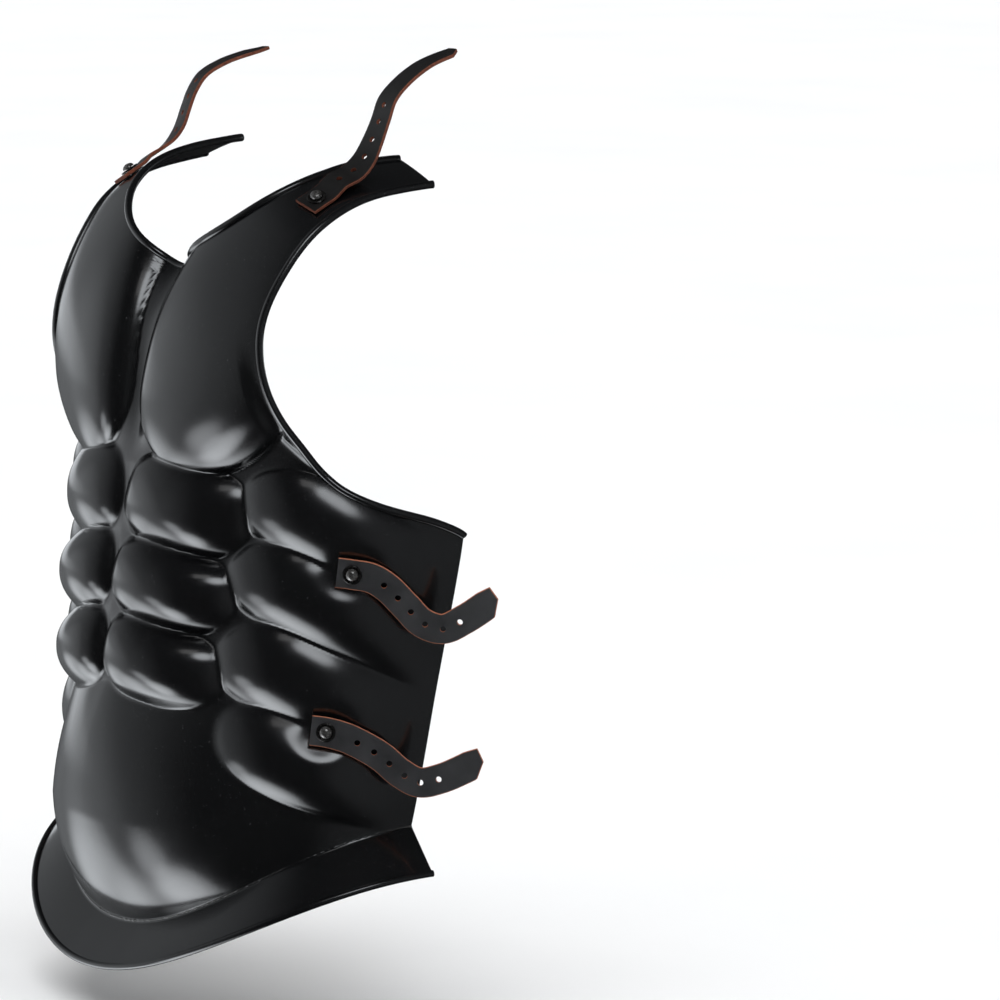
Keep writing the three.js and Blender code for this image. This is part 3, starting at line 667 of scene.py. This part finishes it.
# Points of each strap's curve, measured from its rivet: back, up and out for a side strap, and back and up
# for a shoulder strap.
SIDE_ROUTES = {
    "upper": [(0, 0, 0), (12, -2, 0), (22, -8, -1), (34, -20, -2), (44, -30, -3), (57, -34, -4),
              (71, -27, -2), (91, -12, 3)],
    "lower": [(0, 0, 0), (12, -3, 0), (23, -8, -1), (35, -15, -2), (47, -25, -3), (59, -31, -4),
              (73, -28, -2), (99, -15, 4)],
}
SHOULDER_ROUTES = {
    "left": [(15, 10), (27, 15), (36, 23), (43, 35), (49, 48), (54, 60), (64, 70), (82, 81), (107, 89)],
    "right": [(13, 9), (22, 13), (31, 19), (38, 28), (43, 40), (48, 51), (56, 61), (72, 69), (104, 77)],
}
SHOULDER_TWIST = {"left": 0.0, "right": 0.33}
TWIST_STRETCH = (0.24, 0.55)
STRAP_LEAN = 0.15
STRAP_STEPS = 140
SECTION_COLUMNS = 8
EDGE_ROUND, CORNER, CROWN = 0.35, 0.3, 0.18
TIP_CUT = (0.85, 0.15)
TIP_CLEAR = 4.0
CURVE_STEPS = 40
PUNCH_SIDES = 28
PUNCH_REACH = 3.0
STRAP_SHARP = 38


def even_curve(points, count):
    """Points evenly spaced along a centripetal Catmull-Rom curve, and their distances along it."""
    p = np.array(points, float)
    p = np.concatenate([[2 * p[0] - p[1]], p, [2 * p[-1] - p[-2]]])
    fine = []
    for p0, p1, p2, p3 in zip(p, p[1:], p[2:], p[3:]):
        t1 = np.linalg.norm(p1 - p0) ** 0.5
        t2 = t1 + np.linalg.norm(p2 - p1) ** 0.5
        t3 = t2 + np.linalg.norm(p3 - p2) ** 0.5
        t = np.linspace(t1, t2, CURVE_STEPS + 1)[:-1, None]
        a1 = p0 + (p1 - p0) * t / t1
        a2 = p1 + (p2 - p1) * (t - t1) / (t2 - t1)
        a3 = p2 + (p3 - p2) * (t - t2) / (t3 - t2)
        b1 = a1 + (a2 - a1) * t / t2
        b2 = a2 + (a3 - a2) * (t - t1) / (t3 - t1)
        fine.append(b1 + (b2 - b1) * (t - t1) / (t2 - t1))
    fine = np.concatenate([*fine, p[-2:-1]])
    length = np.concatenate([[0], np.cumsum(np.linalg.norm(np.diff(fine, axis=0), axis=1))])
    along = np.linspace(0, length[-1], count + 1)
    return np.stack([np.interp(along, length, fine[:, k]) for k in range(3)], -1), along


def strap_section(left, right):
    """Points round the band's section as (side, level), with softened corners, and which faces are edges."""
    t = STRAP_THICK / 2
    side = np.linspace(-1, 1, SECTION_COLUMNS + 1)
    x = np.where(side < 0, side * (left - EDGE_ROUND), side * (right - EDGE_ROUND))
    crown = CROWN * (1 - side**2)
    under = [(a, -t) for a in x]
    over = [(a, t + c) for a, c in zip(x[::-1], crown[::-1])]
    right_edge = [(right, -t + CORNER), (right, t - CORNER)]
    left_edge = [(-left, t - CORNER), (-left, -t + CORNER)]
    edges = [False] * SECTION_COLUMNS + [True] * 3 + [False] * SECTION_COLUMNS + [True] * 3
    return np.array(under + right_edge + over + left_edge), edges


def strap_mesh(name, points, across_at, mirror, looks):
    """A punched leather band along points, cut to a slanted tip, as one mesh in metres."""
    centre, along = even_curve(points, STRAP_STEPS)
    forward = unit(np.gradient(centre, axis=0))
    rings, outs = [], []
    for i, stop in enumerate(centre):
        across = across_at(i / STRAP_STEPS, forward[i])
        across = unit(across - forward[i] * (across @ forward[i]))
        out = np.cross(forward[i], across)
        taper = max(along[i] - (along[-1] - TIP_LENGTH), 0) / TIP_LENGTH
        half = STRAP_WIDTH / 2
        section, edges = strap_section(*(half * (1 - cut * taper) for cut in TIP_CUT))
        rings.append(stop + section[:, :1] * across + section[:, 1:] * out)
        outs.append(out)
    rings = np.array(rings)
    sides = rings.shape[1]
    faces, slots = [], []
    for i in range(STRAP_STEPS):
        for k in range(sides):
            n = (k + 1) % sides
            faces.append((i * sides + k, i * sides + n, (i + 1) * sides + n, (i + 1) * sides + k))
            slots.append(1 if edges[k] else 0)
    faces += [tuple(range(sides - 1, -1, -1)), tuple(STRAP_STEPS * sides + np.arange(sides))]
    slots += [1, 1]
    if mirror:
        faces = [f[::-1] for f in faces]
    flip = np.array([-1, 1, 1]) if mirror else np.ones(3)
    strap = add_object(name, world(rings.reshape(-1, 3) * flip), faces, looks, slots)
    places = [(STRAP_TAIL, RIVET_HOLE_RADIUS)]
    places += [(STRAP_TAIL + FIRST_HOLE + HOLE_PITCH * i, HOLE_RADIUS) for i in range(HOLE_COUNT)]
    for place, radius in places:
        if place < along[-1] - TIP_LENGTH - TIP_CLEAR:
            i = int(np.argmin(np.abs(along - place)))
            punch(strap, world(centre[i] * flip), outs[i] * flip, radius * MM)
    strap.data.set_sharp_from_angle(angle=math.radians(STRAP_SHARP))
    return strap


def punch(strap, place, direction, radius):
    """Cut one round hole through a strap."""
    ends = [Vector(place) + Vector(direction) * PUNCH_REACH * MM * k for k in (-1, 1)]
    turn = Vector(direction).to_track_quat("Z", "Y")
    sides = PUNCH_SIDES
    ring = [Vector((math.cos(2 * math.pi * k / sides), math.sin(2 * math.pi * k / sides), 0)) * radius
            for k in range(sides)]
    points = [end + turn @ p for end in ends for p in ring]
    faces = [(k, (k + 1) % sides, sides + (k + 1) % sides, sides + k) for k in range(sides)]
    faces += [tuple(range(sides - 1, -1, -1)), tuple(range(sides, 2 * sides))]
    cutter = add_object("cutter", points, faces, strap.data.materials, [1] * len(faces))
    cut = strap.modifiers.new("hole", "BOOLEAN")
    cut.operation, cut.solver, cut.object = "DIFFERENCE", "EXACT", cutter
    whole = strap.evaluated_get(bpy.context.evaluated_depsgraph_get())
    made = bpy.data.meshes.new_from_object(whole)
    strap.modifiers.clear()
    old = strap.data
    strap.data = made
    made.name = old.name
    bpy.data.meshes.remove(old)
    bpy.data.objects.remove(cutter)


def side_strap(name, spot, route, mirror):
    origin, axes, _ = seat_frame(spot, SIDE_PROBE)
    _, up, out = axes
    route = [(-STRAP_TAIL, 1, 0), *route]
    points = [origin + np.array((back, rise, lift + CENTRE_LEVEL)) @ axes for back, rise, lift in route]

    def across(_, forward):
        return np.cross(out, forward) * (1 - STRAP_LEAN) + up * STRAP_LEAN

    return strap_mesh(name, points, across, mirror, SIDE_LEATHER_WITH_PAINTED_SHEEN)


def shoulder_strap(name, side):
    origin, axes, _ = seat_frame(SHOULDER_RIVET, SHOULDER_PROBE)
    slope, _, out = axes
    seat = origin + out * CENTRE_LEVEL
    forward = -np.cross(slope, out)
    points = [seat + forward * f for f in (-STRAP_TAIL, 0, SEAT_FLAT)]
    points += [seat + (0, back, up) for back, up in SHOULDER_ROUTES[side]]
    level = unit(np.array((1.0, SHOULDER_TWIST[side], 0.0)))

    def across(f, _):
        turned = smoothstep(f, *TWIST_STRETCH)
        return -(slope * (1 - turned) + level * turned)

    return strap_mesh(name, points, across, side == "right", SHOULDER_LEATHER_WITH_PAINTED_SHADE)


# ---- Rivets and washers ----
LATHE_SIDES = 48
TURNED_SHARP = 40
SHANK_RADIUS, HEAD_RADIUS, HEAD_RISE = 2.0, 4.0, 2.6
WASHER_RADIUS, WASHER_THICK = 6.2, 1.2
HEAD_RIM = 0.4
DOME_STEPS = 11
DOME_TOP_RADIUS = 0.12
TAIL_RADIUS, TAIL_THICK, TAIL_GAP = 3.4, 1.2, 1.1
GAP = 0.3


def lathe(name, profile, origin, axes, mirror, closed, look):
    """A turned piece standing on a seat, from (radius, level) points."""
    a = np.arange(LATHE_SIDES) * 2 * math.pi / LATHE_SIDES
    ring = np.stack([np.cos(a), np.sin(a)], -1)
    points = np.concatenate([np.column_stack([ring * r, np.full(LATHE_SIDES, z)]) for r, z in profile])
    faces = []
    rows = len(profile) if closed else len(profile) - 1
    for i in range(rows):
        n = (i + 1) % len(profile)
        for k in range(LATHE_SIDES):
            m = (k + 1) % LATHE_SIDES
            low, high = i * LATHE_SIDES, n * LATHE_SIDES
            faces.append((low + k, low + m, high + m, high + k))
    if not closed:
        faces.append(tuple(range(LATHE_SIDES - 1, -1, -1)))
        faces.append(tuple((len(profile) - 1) * LATHE_SIDES + np.arange(LATHE_SIDES)))
    if mirror:
        faces = [f[::-1] for f in faces]
    flip = np.array([-1, 1, 1]) if mirror else np.ones(3)
    piece = add_object(name, world((origin + points @ axes) * flip), faces, [look])
    piece.data.set_sharp_from_angle(angle=math.radians(TURNED_SHARP))
    return piece


def rivet(name, spot, probe, mirror):
    origin, axes, proud = seat_frame(spot, probe)
    head = SEAT_GAP + STRAP_THICK + WASHER_THICK + 2 * GAP
    under = -proud - STEEL - TAIL_GAP
    rim = head + HEAD_RIM
    dome = [(HEAD_RADIUS * math.cos(a), rim + HEAD_RISE * math.sin(a))
            for a in np.linspace(0, math.pi / 2, DOME_STEPS + 1)[:-1]]
    profile = [(TAIL_RADIUS * 0.7, under - TAIL_THICK), (TAIL_RADIUS, under - TAIL_THICK * 0.5),
               (TAIL_RADIUS, under), (SHANK_RADIUS, under), (SHANK_RADIUS, head), (HEAD_RADIUS, head),
               *dome, (DOME_TOP_RADIUS, rim + HEAD_RISE)]
    return lathe(name, profile, origin, axes, mirror, False, RIVET_LOOK)


def washer(name, spot, probe, mirror):
    origin, axes, _ = seat_frame(spot, probe)
    low = SEAT_GAP + STRAP_THICK + GAP
    top = low + WASHER_THICK
    bore, out = SHANK_RADIUS + GAP, WASHER_RADIUS
    profile = [(bore, low), (out - 0.3, low), (out, low + 0.25), (out, top - 0.45), (out - 0.35, top - 0.1),
               (out - 0.8, top), (out - 1.5, top - 0.12), (out - 1.8, top - 0.4), (bore, top - 0.4)]
    return lathe(name, profile, origin, axes, mirror, True, WASHER_LOOK)


def finish_piece(piece, node):
    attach(piece, "root")
    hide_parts(node)


def build_straps():
    spots = (
        ("shoulder", SHOULDER_RIVET, SHOULDER_PROBE),
        ("upper_side", SIDE_RIVETS["upper"], SIDE_PROBE),
        ("lower_side", SIDE_RIVETS["lower"], SIDE_PROBE),
    )
    for side in ("left", "right"):
        mirror = side == "right"
        node = "shoulder_strap_" + side
        finish_piece(shoulder_strap("look_" + node, side), node)
        for level, route in SIDE_ROUTES.items():
            node = "side_strap_" + level + "_" + side
            strap = side_strap("look_" + node, SIDE_RIVETS[level], route, mirror)
            finish_piece(strap, node)
        for place, spot, probe in spots:
            node = place + "_rivet_" + side
            finish_piece(rivet("look_" + node, spot, probe, mirror), node)
            node = place + "_washer_" + side
            finish_piece(washer("look_" + node, spot, probe, mirror), node)


build_straps()


# ---- Floor and light ----
FLOOR_HALF = 60.0
FLOOR_BELOW = 0.03


def make_stage():
    size, level = FLOOR_HALF, cad_low[2] - FLOOR_BELOW
    corners = [(-size, -size, level), (size, -size, level), (size, size, level), (-size, size, level)]
    material, tree, shader = node_material("pale_floor")
    tree.links.new(ramp(tree, object_noise(tree, 3.0), 0.3, 0.7, (0.88, 0.885, 0.89), (0.91, 0.912, 0.915)),
                   shader.inputs["Base Color"])
    shader.inputs["Roughness"].default_value = 0.9
    shader.inputs["Specular IOR Level"].default_value = 0.2
    floor = add_object("floor", corners, [(0, 1, 2, 3)], [material], smooth_faces=False)
    floor.visible_glossy = False


def area_light(name, place, aim, size, watts, colour=(1, 1, 1)):
    data = bpy.data.lights.new(name, "AREA")
    data.shape = "RECTANGLE"
    data.size, data.size_y = size
    data.energy = watts
    data.color = colour
    lamp = bpy.data.objects.new(name, data)
    lamp.location = place
    lamp.rotation_mode = "QUATERNION"
    lamp.rotation_quaternion = (Vector(aim) - Vector(place)).to_track_quat("-Z", "Y")
    lamp.visible_camera = False
    bpy.context.scene.collection.objects.link(lamp)


# Soft patches of light round the room: direction from the object, strength, and the angles in degrees
# within which each is full and beyond which it is gone.
PATCHES = (
    ((-0.78, -0.61, -0.10), 0.40, 5, 75),
    ((-0.78, -0.61, -0.10), 0.38, 3, 38),
    ((-0.70, -0.31, -0.64), 1.9, 12, 30),
    ((-0.29, -0.41, -0.87), 1.6, 12, 30),
    ((-0.03, -0.67, -0.74), 4.2, 4, 17),
    ((-0.20, -0.84, -0.50), 2.7, 2, 13),
    ((-0.17, -0.20, -0.97), 2.5, 8, 24),
    ((0.98, 0.17, -0.09), 0.13, 15, 48),
    ((0.73, -0.35, 0.59), 4.6, 4, 13),
)
ROOM_GLOW = 0.03
HORIZON_GLOW = 1.1
HORIZON_BAND = (0.04, 0.10)
HORIZON_AXIS = (-0.707, 0.707, 0.0)
HORIZON_SPAN = (-0.1, 0.3)
ROOM_COLOUR = (0.92, 0.96, 1.0, 1)


def make_world():
    """A dim room with soft patches of light and a pale horizon behind the object."""
    made = bpy.data.worlds.new("room")
    bpy.context.scene.world = made
    made.use_nodes = True
    tree = made.node_tree
    background = tree.nodes["Background"]
    direction = add_node(tree, "TexCoord").outputs["Generated"]
    room = None
    for axis, strength, full, gone in PATCHES:
        facing = add_node(tree, "VectorMath", {0: direction, 1: axis}, operation="DOT_PRODUCT")
        reach = {"Value": facing.outputs["Value"], "From Min": math.cos(math.radians(gone)),
                 "From Max": math.cos(math.radians(full)), "To Min": 0.0, "To Max": strength}
        glow = add_node(tree, "MapRange", reach, interpolation_type="SMOOTHSTEP").outputs["Result"]
        sum_of = {0: glow, 1: ROOM_GLOW if room is None else room}
        room = add_node(tree, "Math", sum_of, operation="ADD").outputs["Value"]
    parts = add_node(tree, "SeparateXYZ", {"Vector": direction})
    level = add_node(tree, "Math", {0: parts.outputs["Z"]}, operation="ABSOLUTE").outputs["Value"]
    band = remap(tree, level, *HORIZON_BAND, 1.0, 0.0)
    behind = add_node(tree, "VectorMath", {0: direction, 1: HORIZON_AXIS}, operation="DOT_PRODUCT")
    far = remap(tree, behind.outputs["Value"], *HORIZON_SPAN, 0.0, 1.0)
    horizon = add_node(tree, "Math", {0: band, 1: far}, operation="MULTIPLY").outputs["Value"]
    glow = add_node(tree, "Mix", {"Factor": horizon, "A": room, "B": HORIZON_GLOW}).outputs["Result"]
    background.inputs["Color"].default_value = ROOM_COLOUR
    tree.links.new(glow, background.inputs["Strength"])


def sun_light(watts, angle, tilt):
    data = bpy.data.lights.new("ceiling", "SUN")
    data.energy = watts
    data.angle = math.radians(angle)
    lamp = bpy.data.objects.new("ceiling", data)
    lamp.rotation_euler = tilt
    lamp.visible_glossy = False
    bpy.context.scene.collection.objects.link(lamp)


make_stage()
make_world()
middle = (0.0, -0.06, -0.25)
area_light("front_right", (1.3, -1.3, 1.6), middle, (0.7, 0.5), 1.0)
sun_light(3.2, 70.0, (0.15, 0.1, 0.0))
bpy.context.scene.view_settings.view_transform = "Standard"
